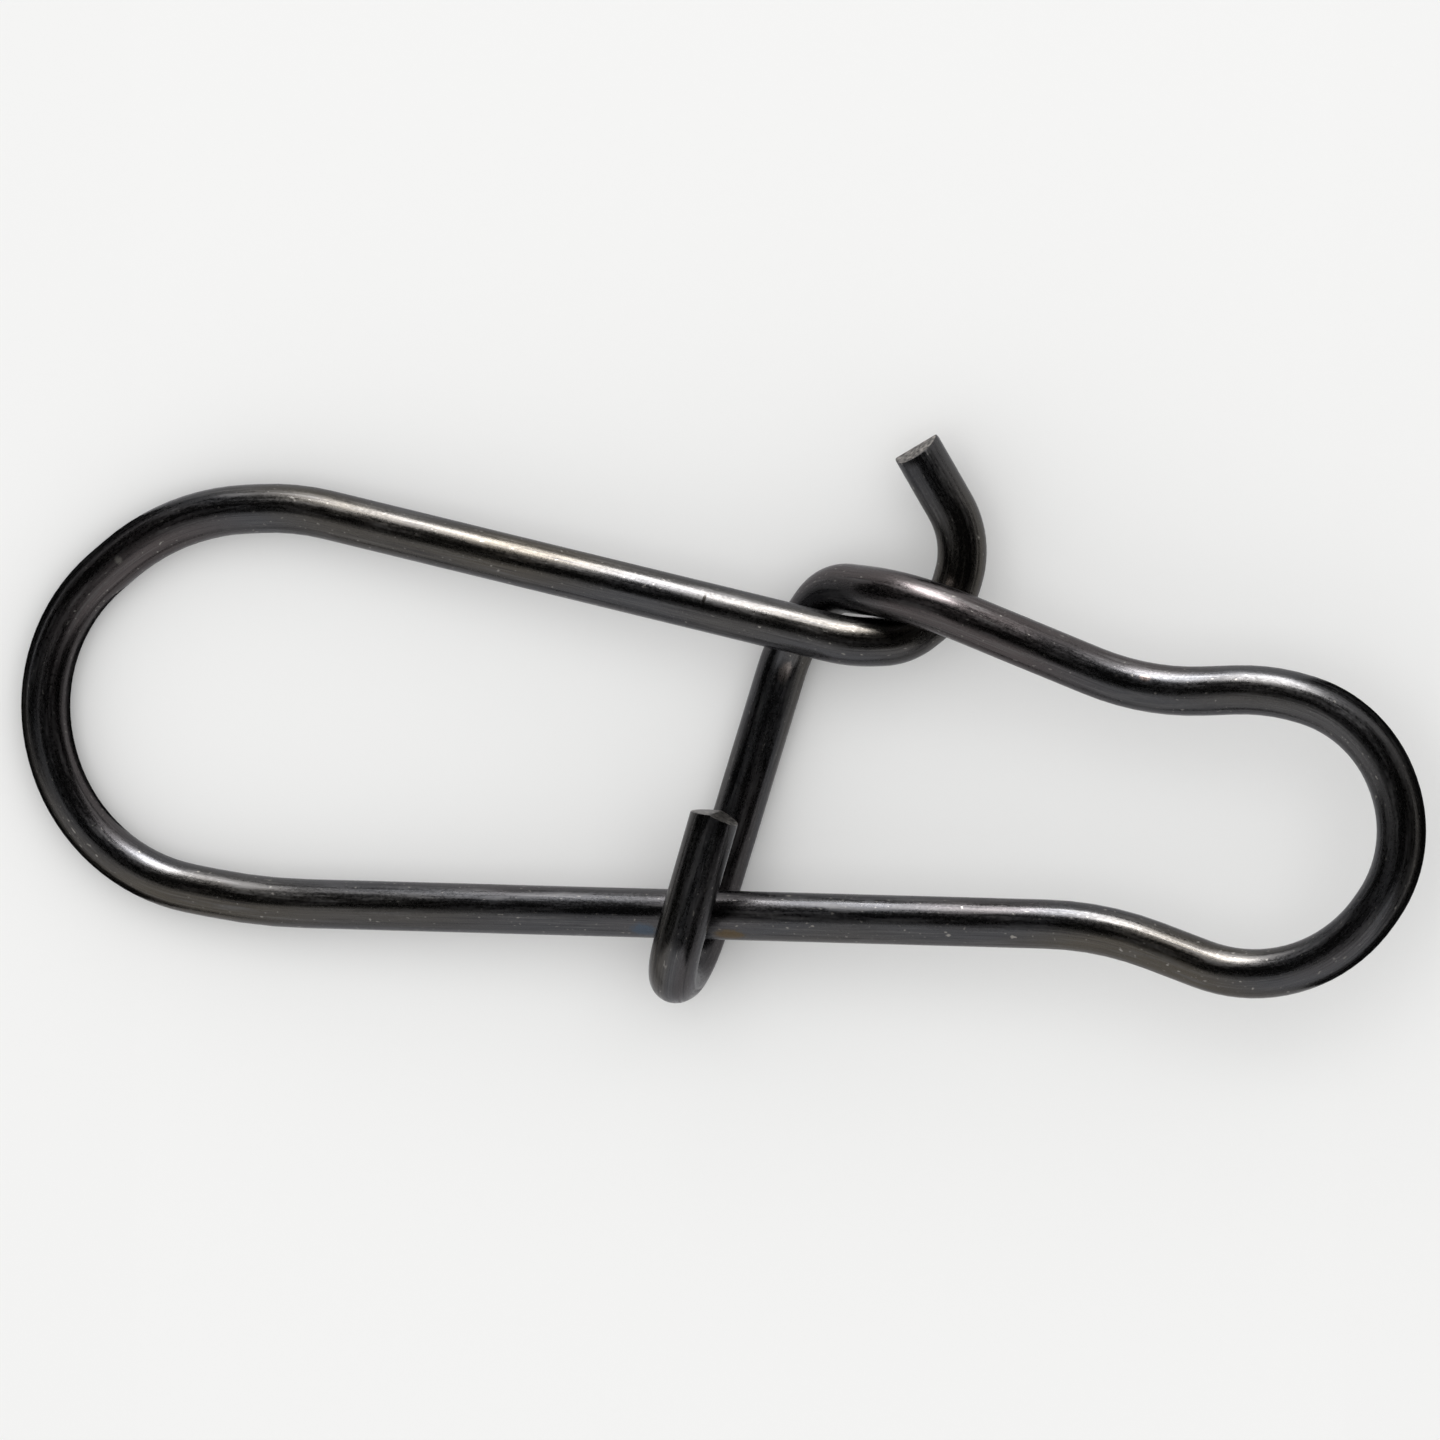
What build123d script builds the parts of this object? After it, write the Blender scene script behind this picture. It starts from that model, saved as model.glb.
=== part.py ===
from build123d import *
import os
from math import cos, radians, sin, tan

# A duo-lock snap: one spring-steel wire with a large loop, a small loop and two
# hooks that grip each other, in millimetres. The wire is bent in a working plane,
# X along its shank towards the small loop and Y across to the arms, and is then
# laid down as it comes to rest on a table, front side up.

# Wire
wire_diameter = 1.0
strand_gap = 0.05
half_bend_gap = 0.05

# Large loop, from the shank round to the left arm
shank_left = 8.65
heel_turn = 9.5
heel_radius = 12.0
heel_straight = 0.5
large_end_turn = 130.0
large_end_radius = 3.65
shoulder_straight = 0.4
shoulder_turn = 36.5
shoulder_radius = 4.6
crest_straight = 0.4
crest_turn = 14.0
crest_radius = 5.2

# Small loop, from the shank round to the right arm
shank_right = 6.9
kink_turn = 19.0
kink_radius = 7.0
kink_straight = 1.05
toe_turn = 74.0
toe_radius = 3.15
toe_straight = 0.15
small_end_turn = 109.0
small_end_radius = 2.65
brow_turn = 19.5
brow_radius = 4.45
brow_straight = 0.75
dip_turn = 25.0
dip_radius = 5.0

# Lock, where the left arm's hook and the right arm's hook pass each other
lock_x = 2.9
lock_y = 5.64
neck_length = 2.2
neck_lean = 31.0

# Cross leg and the hook that it turns up in front of the shank
shank_hook_x = 0.9
shank_hook_slack = 0.26
shank_hook_shift = 0.12
leg_spread = 0.08
front_leg_length = 3.65
front_leg_lean = 16.5

# Ends, cropped by side cutters
neck_crop_angle = 24.0
front_leg_crop_angle = 12.0
overrun = 0.6

# A strand is the wire with the gap that keeps it off a strand that it crosses
strand = wire_diameter + strand_gap

# Corners of the hooks, counted in strands from the middle of the lock, and their bend radii
left_hook_bends = [(0.0, 0.0, 0.21, 2.0), (0.92, 0.03, -0.16, 1.2), (1.76, 0.74, -0.52, 1.2), (2.13, 1.97, -0.57, 1.7)]
right_hook_bends = [(1.28, 0.99, 0.71, 2.8), (-0.65, 1.02, -0.5, 1.3), (-1.64, -0.23, -1.14, 2.0)]


# Unit vector in the working plane, by its angle from the shank
def direction(angle):
    return Vector(cos(radians(angle)), sin(radians(angle)))


# Corners and radii of bends that follow each other, each with its straight, its turn and its radius
def bend_corners(start, heading, bends):
    corners = []
    at = Vector(*start)
    for straight, turn, radius in bends:
        reach = radius * tan(radians(abs(turn)) / 2)
        corner = at + direction(heading) * (straight + reach)
        corners.append((corner, radius))
        heading += turn
        at = corner + direction(heading) * reach
    return corners


# Corners and radii of a hook, from its list in strands
def lock_corners(bends):
    middle = Vector(lock_x, lock_y)
    return [(middle + Vector(x, y, z) * strand, radius * strand) for x, y, z, radius in bends]


large_loop = bend_corners(
    (-shank_left, 0),
    180,
    [
        (0, -heel_turn, heel_radius),
        (heel_straight, -large_end_turn / 2, large_end_radius),
        (half_bend_gap, -large_end_turn / 2, large_end_radius),
        (shoulder_straight, -shoulder_turn, shoulder_radius),
        (crest_straight, -crest_turn, crest_radius),
    ],
)
small_loop = bend_corners(
    (shank_right, 0),
    0,
    [
        (0, -kink_turn, kink_radius),
        (kink_straight, toe_turn, toe_radius),
        (toe_straight, small_end_turn / 2, small_end_radius),
        (half_bend_gap, small_end_turn / 2, small_end_radius),
        (half_bend_gap, brow_turn, brow_radius),
        (brow_straight, -dip_turn, dip_radius),
    ],
)
left_hook = lock_corners(left_hook_bends)
right_hook = lock_corners(right_hook_bends)

# The cross leg passes behind the shank, and the front leg comes up in front of it
hook_floor = -strand - shank_hook_slack
hook_back = Vector(-shank_hook_x, hook_floor, -strand - leg_spread)
hook_front = Vector(-shank_hook_x + shank_hook_shift, hook_floor, strand)
shank_hook = [(hook_back, wire_diameter), (hook_front, wire_diameter)]

# Both ends of the wire, and which way each points
neck_corner = left_hook[-1][0]
neck_heading = direction(90 + neck_lean)
neck_end = neck_corner + neck_heading * neck_length
front_leg_heading = direction(90 - front_leg_lean)
front_leg_end = hook_front + front_leg_heading * front_leg_length

bends = left_hook[::-1] + large_loop[::-1] + small_loop + right_hook + shank_hook
points = [neck_end + neck_heading * overrun]
points += [corner for corner, radius in bends]
points.append(front_leg_end + front_leg_heading * overrun)

with BuildPart() as snap_wire:
    with BuildLine() as route:
        FilletPolyline(*points, radius=[radius for corner, radius in bends])
    with BuildSketch(route.wire() ^ 0):
        Circle(wire_diameter / 2)
    sweep()

    # Each end is cropped to two low facets that meet in a ridge across the wire
    for end, heading, ridge, crop_angle in [
        (neck_end, neck_heading, neck_heading.cross(Vector(0, 0, 1)), neck_crop_angle),
        (front_leg_end, front_leg_heading, Vector(0, 0, 1), front_leg_crop_angle),
    ]:
        facet_drop = wire_diameter * tan(radians(crop_angle))
        with BuildSketch(Plane(origin=end, x_dir=heading.cross(ridge), z_dir=ridge)):
            with BuildLine():
                Polyline(
                    (0, 0),
                    (wire_diameter, -facet_drop),
                    (wire_diameter, 2 * overrun),
                    (-wire_diameter, 2 * overrun),
                    (-wire_diameter, -facet_drop),
                    close=True,
                )
            make_face()
        extrude(amount=wire_diameter, both=True, mode=Mode.SUBTRACT)

# It rests on the back of its cross leg and on the end of its large loop
leg = right_hook[-1][0] - hook_back
end_corners = [large_loop[1][0], large_loop[2][0]]
inward = (end_corners[1] - end_corners[0]).cross(Vector(0, 0, 1)).normalized()
large_end_centre = (end_corners[0] + end_corners[1]) / 2 + inward * large_end_radius
loop_rest = large_end_centre + Vector(0, 0, 1).cross(leg).normalized() * large_end_radius
rest = Plane(origin=loop_rest, x_dir=(1, 0, 0), z_dir=leg.cross(loop_rest - hook_back))
snap_wire.part.move(rest.location.inverse())

# Its origin is below its middle, where it meets the table
box = snap_wire.part.bounding_box()
snap_wire.part.move(Location((-box.center().X, -box.center().Y, -box.min.Z)))
snap_wire.part.label = "snap_wire"

os.makedirs("parts", exist_ok=True)
export_step(snap_wire.part, "parts/snap_wire.step")
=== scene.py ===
import bpy
from math import atan2, ceil, cos, degrees, pi, radians, sin, tan
from mathutils import Matrix, Vector


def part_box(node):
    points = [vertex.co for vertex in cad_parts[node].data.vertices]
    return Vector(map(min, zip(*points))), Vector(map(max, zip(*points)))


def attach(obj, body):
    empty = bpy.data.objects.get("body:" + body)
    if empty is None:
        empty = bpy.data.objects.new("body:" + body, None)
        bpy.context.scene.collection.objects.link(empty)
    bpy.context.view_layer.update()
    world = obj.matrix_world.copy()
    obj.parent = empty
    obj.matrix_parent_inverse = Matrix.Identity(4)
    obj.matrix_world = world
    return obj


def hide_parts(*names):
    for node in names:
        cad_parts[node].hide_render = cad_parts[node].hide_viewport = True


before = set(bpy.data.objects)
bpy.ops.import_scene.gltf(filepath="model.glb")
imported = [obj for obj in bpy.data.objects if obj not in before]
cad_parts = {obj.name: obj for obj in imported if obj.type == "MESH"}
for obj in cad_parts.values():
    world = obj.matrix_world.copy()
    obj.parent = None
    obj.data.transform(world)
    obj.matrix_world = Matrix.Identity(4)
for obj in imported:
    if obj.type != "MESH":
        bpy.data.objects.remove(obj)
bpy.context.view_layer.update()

scene = bpy.context.scene
millimetre = 0.001


# Small helpers
def linearColour(code):
    channels = [int(code[i:i + 2], 16) / 255 for i in (1, 3, 5)]
    return [c / 12.92 if c < 0.04045 else ((c + 0.055) / 1.055) ** 2.4 for c in channels] + [1.0]


def deselectAll():
    if bpy.context.object and bpy.context.object.mode != "OBJECT":
        bpy.ops.object.mode_set(mode="OBJECT")
    bpy.ops.object.select_all(action="DESELECT")


# Opens a mesh for editing with only the faces that pass the test selected
def editFaces(thing, test):
    deselectAll()
    thing.select_set(True)
    bpy.context.view_layer.objects.active = thing
    bpy.context.tool_settings.mesh_select_mode = (False, False, True)
    for part in (thing.data.vertices, thing.data.edges, thing.data.polygons):
        part.foreach_set("select", [False] * len(part))
    for face in thing.data.polygons:
        face.select = test(face)
    bpy.ops.object.mode_set(mode="EDIT")


def addNode(tree, kind, values=None, links=None, **settings):
    node = tree.nodes.new(kind)
    for name, value in settings.items():
        setattr(node, name, value)
    for socket, value in (values or {}).items():
        node.inputs[socket].default_value = value
    for socket, source in (links or {}).items():
        tree.links.new(source, node.inputs[socket])
    return node


# Snap wire: one length of spring wire, bent as the CAD says. X runs along the shank, Y across to the
# arms and Z to the front of the snap; lengths in millimetres, angles in degrees.
wireForm = {
    "diameter": 1.0,
    "strandGap": 0.05,

    # each loop from the shank round to its arm: straight, turn, radius
    "largeLoopStart": -8.65,
    "largeLoop": [(0, -9.5, 12.0), (0.5, -65, 3.65), (0.05, -65, 3.65), (0.4, -36.5, 4.6),
                  (0.4, -14, 5.2)],
    "smallLoopStart": 6.9,
    "smallLoop": [(0, -19, 7.0), (1.05, 74, 3.15), (0.15, 54.5, 2.65), (0.05, 54.5, 2.65),
                  (0.05, 19.5, 4.45), (0.75, -25, 5.0)],

    # hooks from the middle of the lock, counted in strands: x, y, z, radius
    "lockMiddle": (2.9, 5.64, 0),
    "leftHook": [(0, 0, 0.21, 2.0), (0.92, 0.03, -0.16, 1.2), (1.76, 0.74, -0.52, 1.2),
                 (2.13, 1.97, -0.57, 1.7)],
    "rightHook": [(1.28, 0.99, 0.71, 2.8), (-0.65, 1.02, -0.5, 1.3), (-1.64, -0.23, -1.14, 2.0)],
    "neckLength": 2.2,
    "neckLean": 31.0,
    "shankHookX": -0.9,
    "shankHookSlack": 0.26,
    "shankHookShift": 0.12,
    "legSpread": 0.08,
    "frontLegLength": 3.65,
    "frontLegLean": 16.5,

    # ends cropped by side cutters
    "overrun": 0.6,
    "neckCrop": 24.0,
    "frontLegCrop": 12.0,
    "cutReach": (2.2, 1.02),  # how far a cut reaches along the wire and across it, in wire radii
    "cutTolerance": 0.0001,  # the operator's own, a tenth of a millimetre, is too coarse for this wire
    "cropEdge": 0.025,
    "cropEdgeSteps": 2,
    "cropEdgeProfile": 0.6,
    "cropEdgeAngle": 20,

    # fineness of the mesh
    "sides": 64,
    "bendStep": 4.0,
    "straightStep": 0.6,
    "mergeDistance": 0.001,
    "smoothAngle": 32,
}


def headingVector(angle):
    return Vector((cos(radians(angle)), sin(radians(angle)), 0))


def loopCorners(start, heading, bends):
    corners = []
    at = Vector((start, 0, 0))
    for straight, turn, radius in bends:
        reach = radius * tan(radians(abs(turn)) / 2)
        corner = at + headingVector(heading) * (straight + reach)
        corners.append((corner, radius))
        heading += turn
        at = corner + headingVector(heading) * reach
    return corners


def hookCorners(form, bends):
    strand = form["diameter"] + form["strandGap"]
    middle = Vector(form["lockMiddle"])
    return [(middle + Vector((x, y, z)) * strand, radius * strand) for x, y, z, radius in bends]


# Corners of the wire from the neck's cut end round to the front leg's cut end
def wireRoute(form):
    strand = form["diameter"] + form["strandGap"]
    hookFloor = -strand - form["shankHookSlack"]
    hookBack = Vector((form["shankHookX"], hookFloor, -strand - form["legSpread"]))
    hookFront = Vector((form["shankHookX"] + form["shankHookShift"], hookFloor, strand))
    largeLoop = loopCorners(form["largeLoopStart"], 180, form["largeLoop"])
    smallLoop = loopCorners(form["smallLoopStart"], 0, form["smallLoop"])
    leftHook = hookCorners(form, form["leftHook"])
    rightHook = hookCorners(form, form["rightHook"])
    bends = leftHook[::-1] + largeLoop[::-1] + smallLoop + rightHook
    bends += [(hookBack, form["diameter"]), (hookFront, form["diameter"])]
    neckEnd = leftHook[-1][0] + headingVector(90 + form["neckLean"]) * form["neckLength"]
    frontLegEnd = hookFront + headingVector(90 - form["frontLegLean"]) * form["frontLegLength"]
    return neckEnd, bends, frontLegEnd


# Turns the snap from its bending plane to how it lies, on the back of its cross leg and its large loop
def restTurn(bends, form):
    # the cross leg runs from the right hook's last corner to the shank hook's first
    hookBack = bends[-2][0]
    leg = bends[-3][0] - hookBack

    # the large loop's end is the pair of bends after its heel, which the route passes in reverse
    radius = form["largeLoop"][1][2]
    firstCorner, secondCorner = [bends[len(form["leftHook"]) + k][0] for k in (3, 2)]
    inward = (secondCorner - firstCorner).cross(Vector((0, 0, 1))).normalized()
    centre = (firstCorner + secondCorner) / 2 + inward * radius
    loopRest = centre + Vector((0, 0, 1)).cross(leg).normalized() * radius
    up = leg.cross(loopRest - hookBack).normalized()
    along = (Vector((1, 0, 0)) - up * up.x).normalized()
    return Matrix((along, up.cross(along), up))


# Straights and bends one after another, as a wire former makes them
def wireMoves(start, bends, end):
    moves = []
    at = start
    for k, (corner, radius) in enumerate(bends):
        onward = bends[k + 1][0] if k + 1 < len(bends) else end
        before = (corner - at).normalized()
        after = (onward - corner).normalized()
        turn = before.angle(after)
        reach = radius * tan(turn / 2)
        axis = before.cross(after).normalized()
        straight = (corner - before * reach) - at
        moves.append({"straight": straight})
        moves.append({"centre": at + straight + axis.cross(before) * radius, "axis": axis,
                      "turn": turn, "radius": radius})
        at = corner + after * reach
    moves.append({"straight": end - at})
    return moves


neckEnd, wireBends, frontLegEnd = wireRoute(wireForm)
layTurn = restTurn(wireBends, wireForm)
neckHeading = layTurn @ headingVector(90 + wireForm["neckLean"])
frontLegHeading = layTurn @ headingVector(90 - wireForm["frontLegLean"])
snapFront = layTurn @ Vector((0, 0, 1))


def laid(point):
    return layTurn @ point * millimetre


# A round section stands across the neck's end, and is drawn out and bent along the route
def drawWire(form):
    overrun = form["overrun"] * millimetre
    start = laid(neckEnd) + neckHeading * overrun
    end = laid(frontLegEnd) + frontLegHeading * overrun
    moves = wireMoves(start, [(laid(corner), radius * millimetre) for corner, radius in wireBends], end)

    deselectAll()
    section = Matrix((neckHeading.cross(snapFront), snapFront, -neckHeading)).transposed()
    bpy.ops.mesh.primitive_circle_add(vertices=form["sides"], radius=form["diameter"] / 2 * millimetre,
                                      location=start, rotation=section.to_euler())
    wire = bpy.context.object
    wire.name = "snapWire"
    wire.data.name = "snapWire"
    bpy.ops.object.transform_apply(location=True, rotation=True, scale=True)
    bpy.ops.object.mode_set(mode="EDIT")
    bpy.ops.mesh.select_all(action="SELECT")

    rings = [(0.0, start, section)]
    for move in moves:
        length, centre, section = rings[-1]
        if "straight" in move:
            steps = max(1, ceil(move["straight"].length / (form["straightStep"] * millimetre)))
            step = move["straight"] / steps
            for k in range(1, steps + 1):
                bpy.ops.mesh.extrude_region_move(TRANSFORM_OT_translate={"value": step})
                rings.append((length + step.length * k, centre + step * k, section))
        else:
            steps = ceil(degrees(move["turn"]) / form["bendStep"])
            bpy.ops.mesh.spin(steps=steps, angle=-move["turn"], center=move["centre"], axis=move["axis"])
            for k in range(1, steps + 1):
                angle = move["turn"] * k / steps
                turn = Matrix.Rotation(angle, 3, move["axis"])
                rings.append((length + move["radius"] * angle,
                              move["centre"] + turn @ (centre - move["centre"]), turn @ section))
    bpy.ops.object.mode_set(mode="OBJECT")
    return wire, rings


# Keeps on every point where it was on the straight wire, so that drawing lines follow the bends
def keepStraightPlace(wire, rings, form):
    places = wire.data.attributes.new("straightWire", "FLOAT_VECTOR", "POINT")
    for vertex in wire.data.vertices:
        length, centre, section = rings[vertex.index // form["sides"]]
        offset = vertex.co - centre
        places.data[vertex.index].vector = (length, offset.dot(section.col[0]), offset.dot(section.col[1]))


# Side cutters leave two low facets that meet in a ridge across the wire
def cropEnd(wire, end, heading, ridge, angle, form):
    across = ridge.cross(heading).normalized()
    alongReach, acrossReach = [reach * form["diameter"] / 2 * millimetre for reach in form["cutReach"]]

    def nearEnd(face):
        out = face.center - end
        along = out.dot(heading)
        return abs(along) < alongReach and (out - heading * along).length < acrossReach

    for side in (1, -1):
        editFaces(wire, nearEnd)
        bpy.ops.mesh.bisect(plane_co=end, plane_no=heading + across * side * tan(radians(angle)),
                            use_fill=True, clear_outer=True, threshold=form["cutTolerance"] * millimetre)
        bpy.ops.object.mode_set(mode="OBJECT")


def finishWire(wire, form):
    deselectAll()
    wire.select_set(True)
    bpy.context.view_layer.objects.active = wire
    bpy.ops.object.mode_set(mode="EDIT")
    bpy.ops.mesh.select_mode(type="EDGE")
    bpy.ops.mesh.select_all(action="SELECT")
    bpy.ops.mesh.normals_make_consistent(inside=False)
    bpy.ops.mesh.select_all(action="DESELECT")
    bpy.ops.mesh.edges_select_sharp(sharpness=radians(form["cropEdgeAngle"]))
    bpy.ops.mesh.bevel(offset=form["cropEdge"] * millimetre, segments=form["cropEdgeSteps"],
                       profile=form["cropEdgeProfile"], affect="EDGES", clamp_overlap=True)
    bpy.ops.mesh.select_all(action="SELECT")
    bpy.ops.mesh.remove_doubles(threshold=form["mergeDistance"] * millimetre)
    bpy.ops.mesh.normals_make_consistent(inside=False)

    # laid over the middle of the CAD wire's box, down to the table
    bpy.ops.object.mode_set(mode="OBJECT")
    low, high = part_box("snap_wire")
    points = [v.co for v in wire.data.vertices]
    lowest = Vector([min(p[i] for p in points) for i in range(3)])
    highest = Vector([max(p[i] for p in points) for i in range(3)])
    shift = (low + high - lowest - highest) / 2
    shift.z = low.z - lowest.z
    bpy.ops.object.mode_set(mode="EDIT")
    bpy.ops.transform.translate(value=shift)
    bpy.ops.object.mode_set(mode="OBJECT")
    bpy.ops.object.shade_smooth_by_angle(angle=radians(form["smoothAngle"]))
    return shift


print("snap wire: drawing out and bending")
snapWire, wireRings = drawWire(wireForm)
keepStraightPlace(snapWire, wireRings, wireForm)

print("snap wire: cropping both ends")
neckRidge = neckHeading.cross(snapFront)
cropEnd(snapWire, laid(neckEnd), neckHeading, neckRidge, wireForm["neckCrop"], wireForm)
cropEnd(snapWire, laid(frontLegEnd), frontLegHeading, snapFront, wireForm["frontLegCrop"], wireForm)
layShift = finishWire(snapWire, wireForm)

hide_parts("snap_wire")
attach(snapWire, "root")


# Black nickel on drawn spring steel: a thin, smoky, almost black bright plate, barrel plated over the
# bent wire. The die's drawing lines run along it, the tumbling leaves a fine grain that breaks up the
# gloss, and the plate's uneven thickness tints it a faint straw or rose. Lengths in millimetres.
blackNickel = {
    "plate": "#49494b",
    "grazing": "#e6e6e8",
    "roughness": 0.26,
    "lineDepth": 0.0003,
    "grainDepth": 0.0006,

    # a pattern's low and high value, and what the roughness is multiplied by at each
    "grainGloss": (0.3, 0.7, 0.8, 1.3),
    "rubbedGloss": (0.42, 0.66, 0.85, 1.5),

    # patterns: size along the wire and across it, detail, seed
    "patterns": {
        "grain": (0.07, 0.04, 2, 3.1),
        "dieLine": (2.2, 0.035, 3, 7.7),
        "tint": (9.0, 2.0, 1, 21.9),
        "rubbed": (1.6, 0.14, 3, 33.4),
        "specks": (0.09, 0.06, 0, 45.2),
    },

    # colours over the plate, each coming in where its pattern's value runs from low to high
    "layers": [
        ("#4f4b45", "tint", 0.5, 0.64),  # straw
        ("#4d4848", "tint", 0.48, 0.36),  # rose
        ("#636262", "dieLine", 0.54, 0.84),  # thin plate on the lines' ridges
        ("#363537", "dieLine", 0.45, 0.25),  # thick plate between them
        ("#636262", "rubbed", 0.56, 0.84),
        ("#86837f", "specks", 0.76, 0.88),
    ],

    # nicks and stained spots: along the wire, degrees round it, length, width, colour
    "marks": {
        "armNick": (9.35, 92, 0.07, 0.2, "#242220"),
        "loopNick": (22.15, 63, 0.14, 0.18, "#7b7874"),
        "dipNick": (65.1, 94, 0.24, 0.12, "#7a6f6c"),
        "blueSpot": (40.68, 105, 0.5, 0.3, "#454d57"),
        "brownSpot": (42.48, 114, 0.6, 0.3, "#534839"),
        "crossLegRub": (74.67, 9, 0.5, 0.24, "#7b7471"),
    },
    "markEdge": (1.8, 1.2),  # where a mark fades in, counted in its own half size
}


def wirePattern(tree, length, width, detail, seed):
    straight = addNode(tree, "ShaderNodeAttribute", attribute_name="straightWire")
    along, across = 1 / (length * millimetre), 1 / (width * millimetre)
    place = addNode(tree, "ShaderNodeMapping",
                    {"Scale": (along, across, across), "Location": (seed, seed, seed)},
                    {"Vector": straight.outputs["Vector"]})
    noise = addNode(tree, "ShaderNodeTexNoise", {"Scale": 1.0, "Detail": detail, "Roughness": 0.6},
                    {"Vector": place.outputs["Vector"]})
    return noise.outputs["Fac"]


# Lays a colour over a first colour, or over what is laid already, as a pattern runs from low to high
def layOver(tree, under, colour, pattern, low, high):
    share = addNode(tree, "ShaderNodeMapRange", {"From Min": low, "From Max": high}, {"Value": pattern})
    mix = addNode(tree, "ShaderNodeMix", {7: linearColour(colour)}, {0: share.outputs["Result"]},
                  data_type="RGBA")
    if isinstance(under, str):
        mix.inputs[6].default_value = linearColour(under)
    else:
        tree.links.new(under, mix.inputs[6])
    return mix.outputs[2]


# How far a point of the wire is from a mark, counted in the mark's own half size, with a ragged outline
def markDistance(tree, mark, grain):
    along, degreesRound, length, width = mark[:4]
    radius, angle = wireForm["diameter"] / 2, radians(degreesRound)
    place = [value * millimetre for value in (along, radius * cos(angle), radius * sin(angle))]
    scale = [2 / (size * millimetre) for size in (length, width, width)]
    straight = addNode(tree, "ShaderNodeAttribute", attribute_name="straightWire")
    away = addNode(tree, "ShaderNodeVectorMath", {1: place}, {0: straight.outputs["Vector"]},
                   operation="SUBTRACT")
    away = addNode(tree, "ShaderNodeVectorMath", {1: scale}, {0: away.outputs["Vector"]},
                   operation="MULTIPLY")
    away = addNode(tree, "ShaderNodeVectorMath", links={0: away.outputs["Vector"]}, operation="LENGTH")
    ragged = addNode(tree, "ShaderNodeMath", links={0: away.outputs["Value"], 1: grain}, operation="ADD")
    return ragged.outputs["Value"]


def makeBlackNickel(form):
    material = bpy.data.materials.new("blackNickelWire")
    material.use_nodes = True
    tree = material.node_tree
    tree.nodes.clear()
    patterns = {name: wirePattern(tree, *pattern) for name, pattern in form["patterns"].items()}

    colour = form["plate"]
    for layer, pattern, low, high in form["layers"]:
        colour = layOver(tree, colour, layer, patterns[pattern], low, high)
    for mark in form["marks"].values():
        away = markDistance(tree, mark, patterns["grain"])
        colour = layOver(tree, colour, mark[4], away, *form["markEdge"])

    low, high, bright, dull = form["grainGloss"]
    grained = addNode(tree, "ShaderNodeMapRange",
                      {"From Min": low, "From Max": high, "To Min": form["roughness"] * bright,
                       "To Max": form["roughness"] * dull}, {"Value": patterns["grain"]})
    low, high, bright, dull = form["rubbedGloss"]
    rubbed = addNode(tree, "ShaderNodeMapRange",
                     {"From Min": low, "From Max": high, "To Min": bright, "To Max": dull},
                     {"Value": patterns["rubbed"]})
    roughness = addNode(tree, "ShaderNodeMath",
                        links={0: grained.outputs["Result"], 1: rubbed.outputs["Result"]},
                        operation="MULTIPLY")
    lineBump = addNode(tree, "ShaderNodeBump",
                       {"Strength": 1.0, "Distance": form["lineDepth"] * millimetre},
                       {"Height": patterns["dieLine"]})
    grainBump = addNode(tree, "ShaderNodeBump",
                        {"Strength": 1.0, "Distance": form["grainDepth"] * millimetre},
                        {"Height": patterns["grain"], "Normal": lineBump.outputs["Normal"]})
    shader = addNode(tree, "ShaderNodeBsdfPrincipled",
                     {"Metallic": 1.0, "Specular Tint": linearColour(form["grazing"])},
                     {"Base Color": colour, "Roughness": roughness.outputs["Value"],
                      "Normal": grainBump.outputs["Normal"]})
    addNode(tree, "ShaderNodeOutputMaterial", links={"Surface": shader.outputs["BSDF"]})
    return material


# Cropped ends: side cutters shear the wire before it is plated, so the plate lies over a torn, uneven
# face that is duller and paler than the drawn wire, with dark pits in it. Lengths in millimetres.
croppedEnd = {
    "face": "#6f6c69",
    "grazing": "#e6e6e8",
    "roughness": 0.38,
    "tear": 0.09,
    "tearDepth": 0.012,
    "layers": [("#a19c96", 0.52, 0.68), ("#211f1e", 0.45, 0.36)],  # bright tears, then pits
    "reach": 0.7,  # from the middle of the cut, in wire diameters
    "facing": 0.8,  # how squarely a face of the cut looks along the wire
}


def makeCroppedEnd(form):
    material = bpy.data.materials.new("croppedEnd")
    material.use_nodes = True
    tree = material.node_tree
    tree.nodes.clear()
    place = addNode(tree, "ShaderNodeTexCoord")
    noise = addNode(tree, "ShaderNodeTexNoise",
                    {"Scale": 1 / (form["tear"] * millimetre), "Detail": 3, "Roughness": 0.6},
                    {"Vector": place.outputs["Object"]})
    tear = noise.outputs["Fac"]
    colour = form["face"]
    for layer, low, high in form["layers"]:
        colour = layOver(tree, colour, layer, tear, low, high)
    bump = addNode(tree, "ShaderNodeBump", {"Strength": 1.0, "Distance": form["tearDepth"] * millimetre},
                   {"Height": tear})
    shader = addNode(tree, "ShaderNodeBsdfPrincipled",
                     {"Metallic": 1.0, "Roughness": form["roughness"],
                      "Specular Tint": linearColour(form["grazing"])},
                     {"Base Color": colour, "Normal": bump.outputs["Normal"]})
    addNode(tree, "ShaderNodeOutputMaterial", links={"Surface": shader.outputs["BSDF"]})
    return material


print("snap wire: black nickel, torn ends")
snapWire.data.materials.append(makeBlackNickel(blackNickel))
snapWire.data.materials.append(makeCroppedEnd(croppedEnd))
for end, heading in ((laid(neckEnd), neckHeading), (laid(frontLegEnd), frontLegHeading)):
    for face in snapWire.data.polygons:
        away = (face.center - end - layShift).length / (wireForm["diameter"] * millimetre)
        if away < croppedEnd["reach"] and face.normal.dot(heading) > croppedEnd["facing"]:
            face.material_index = 1


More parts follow.
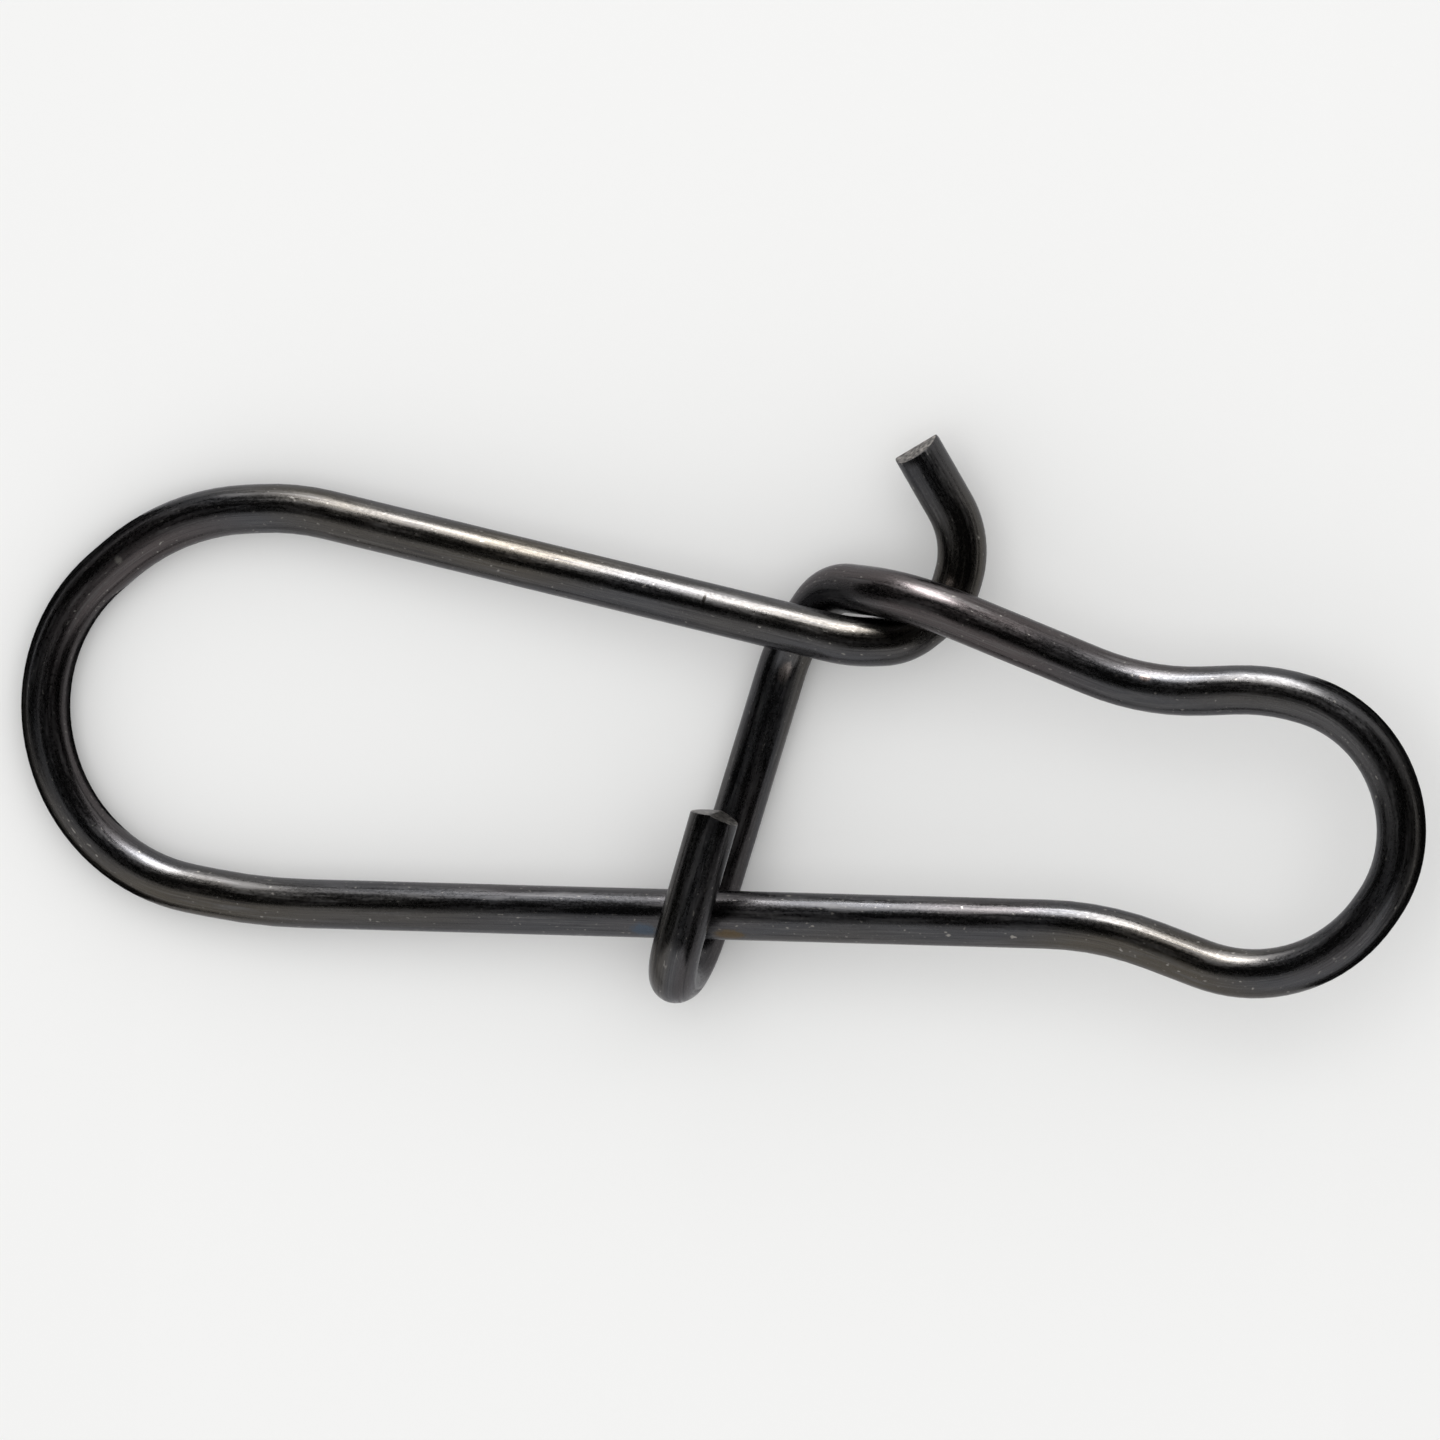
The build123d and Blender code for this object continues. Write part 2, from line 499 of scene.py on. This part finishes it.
# Studio: a pale table under a white surround. A lamp's place is its tilt from the view line, its turn
# from the picture's top towards its right, and its distance. Lengths in millimetres, angles in degrees.
studio = {
    "table": "#f4f4f3",
    "tableRoughness": 0.9,
    "tableSize": 1600,
    "surroundLight": 0.75,

    # the near lamp whose streak the gloss shows, and the fill that lights the table
    "softBoxes": {
        "streakLamp": {"place": (65, -5.5, 72), "size": (30, 42), "brightness": 19, "mirrored": True},
        "overheadFill": {"place": (8, 0, 800), "size": (900, 900), "brightness": 0.95, "mirrored": False},
    },

    # black dome with a gap towards the picture's top and one towards its bottom
    "flagRadius": 300,
    "flagSides": 72,
    "flagColour": "#202020",
    "topGap": (-25, 60),
    "topGapTilt": 60,
    "bottomGap": (145, 250),
    "bottomGapTilt": 37,
    "flagFoot": 6,

    # black cards on the table beyond the loops
    "sideCard": (30, 60),
    "sideCardStart": 12.5,
    "sideCardHeight": 0.01,
}


def makeTable(form):
    deselectAll()
    bpy.ops.mesh.primitive_plane_add(size=form["tableSize"] * millimetre, location=(0, 0, 0))
    table = bpy.context.object
    table.name = "table"
    material = bpy.data.materials.new("paleTable")
    material.use_nodes = True
    shader = material.node_tree.nodes["Principled BSDF"]
    shader.inputs["Base Color"].default_value = linearColour(form["table"])
    shader.inputs["Roughness"].default_value = form["tableRoughness"]
    table.data.materials.append(material)


# The camera stands in the photograph's direction, in the snap's own axes
view = {
    "azimuth": 15.5,
    "elevation": 5.5,
    "frameWidth": 29.209,
    "aimUp": 3.955,
    "aimRight": 0.055,
    "distance": 1000,
    "sensor": 36,
    "nearest": 10,
    "farthest": 20000,
}
azimuth, elevation = radians(view["azimuth"]), radians(view["elevation"])
level = Vector((sin(azimuth), 0, cos(azimuth)))
upright = Vector((0, 1, 0))
toCamera = layTurn @ (level * cos(elevation) + upright * sin(elevation))
pictureUp = layTurn @ (upright * cos(elevation) - level * sin(elevation))
pictureRight = pictureUp.cross(toCamera)
aim = (pictureUp * view["aimUp"] + pictureRight * view["aimRight"]) * millimetre + layShift


# A camera or lamp stands where out points from the snap, and looks back along it
def standOff(right, out, distance):
    turned = Matrix((right, out.cross(right), out)).transposed().to_4x4()
    return Matrix.Translation(aim + out * distance * millimetre) @ turned


def makeCamera(form):
    data = bpy.data.cameras.new("camera")
    camera = bpy.data.objects.new("camera", data)
    scene.collection.objects.link(camera)
    data.sensor_width = form["sensor"]
    data.lens = form["sensor"] * form["distance"] / form["frameWidth"]
    data.clip_start = form["nearest"] * millimetre
    data.clip_end = form["farthest"] * millimetre
    camera.matrix_world = standOff(pictureRight, toCamera, form["distance"])
    scene.camera = camera


def lampPlace(tilt, turn, distance):
    tilt, turn = radians(tilt), radians(turn)
    out = toCamera * cos(tilt) + (pictureUp * cos(turn) + pictureRight * sin(turn)) * sin(tilt)
    right = (pictureRight - out * pictureRight.dot(out)).normalized()
    return standOff(right, out, distance)


def makeSoftBox(name, box):
    width, height = [side * millimetre for side in box["size"]]
    data = bpy.data.lights.new(name, "AREA")
    data.shape = "RECTANGLE"
    data.size = width
    data.size_y = height
    data.energy = box["brightness"] * width * height * pi
    lamp = bpy.data.objects.new(name, data)
    scene.collection.objects.link(lamp)
    lamp.matrix_world = lampPlace(*box["place"])
    lamp.visible_camera = False
    lamp.visible_glossy = box["mirrored"]
    lamp.visible_diffuse = not box["mirrored"]


# Only gloss sees the black flags, which keep the wire's middle and the loops' ends dark
def hideFromAllButGloss(thing, material):
    thing.data.materials.append(material)
    thing.visible_camera = False
    thing.visible_diffuse = False
    thing.visible_shadow = False
    thing.visible_transmission = False


def makeFlags(form):
    material = bpy.data.materials.new("blackFlag")
    material.use_nodes = True
    shader = material.node_tree.nodes["Principled BSDF"]
    shader.inputs["Base Color"].default_value = linearColour(form["flagColour"])
    shader.inputs["Roughness"].default_value = 1.0
    shader.inputs["Specular IOR Level"].default_value = 0.0

    deselectAll()
    bpy.ops.mesh.primitive_uv_sphere_add(segments=form["flagSides"], ring_count=form["flagSides"] // 2,
                                         radius=form["flagRadius"] * millimetre)
    flags = bpy.context.object
    flags.name = "blackFlags"

    def inGap(face):
        out = face.center.normalized()
        tilt = degrees(out.angle(toCamera))
        turn = degrees(atan2(out.dot(pictureRight), out.dot(pictureUp))) % 360
        first, last = form["topGap"]
        top = (turn < last or turn > 360 + first) and tilt > form["topGapTilt"]
        first, last = form["bottomGap"]
        bottom = first < turn < last and tilt > form["bottomGapTilt"]
        return top or bottom or out.z < sin(radians(form["flagFoot"]))

    editFaces(flags, inGap)
    bpy.ops.mesh.delete(type="FACE")
    bpy.ops.object.mode_set(mode="OBJECT")
    hideFromAllButGloss(flags, material)

    width, depth = [size * millimetre for size in form["sideCard"]]
    reach = form["sideCardStart"] * millimetre + width / 2
    lift = form["sideCardHeight"] * millimetre
    for name, side in (("leftCard", -1), ("rightCard", 1)):
        deselectAll()
        bpy.ops.mesh.primitive_plane_add(size=1, location=(side * reach, 0, lift))
        card = bpy.context.object
        card.name = name
        card.scale = (width, depth, 1)
        bpy.ops.object.transform_apply(location=True, rotation=True, scale=True)
        hideFromAllButGloss(card, material)


def makeWorld(form):
    world = bpy.data.worlds.new("whiteSurround")
    scene.world = world
    world.use_nodes = True
    tree = world.node_tree
    tree.nodes.clear()
    path = addNode(tree, "ShaderNodeLightPath")
    seen = addNode(tree, "ShaderNodeMath", operation="ADD", use_clamp=True,
                   links={0: path.outputs["Is Camera Ray"], 1: path.outputs["Is Glossy Ray"]})
    seen = addNode(tree, "ShaderNodeMath", operation="ADD", use_clamp=True,
                   links={0: seen.outputs["Value"], 1: path.outputs["Is Transmission Ray"]})
    strength = addNode(tree, "ShaderNodeMapRange", {"To Min": form["surroundLight"], "To Max": 1.0},
                       {"Value": seen.outputs["Value"]})
    background = addNode(tree, "ShaderNodeBackground", {"Color": (1, 1, 1, 1)},
                         {"Strength": strength.outputs["Result"]})
    addNode(tree, "ShaderNodeOutputWorld", links={"Surface": background.outputs["Background"]})


print("studio: table, lamps and camera")
makeTable(studio)
makeCamera(view)
for name, box in studio["softBoxes"].items():
    makeSoftBox(name, box)
makeFlags(studio)
makeWorld(studio)

scene.view_settings.view_transform = "Standard"
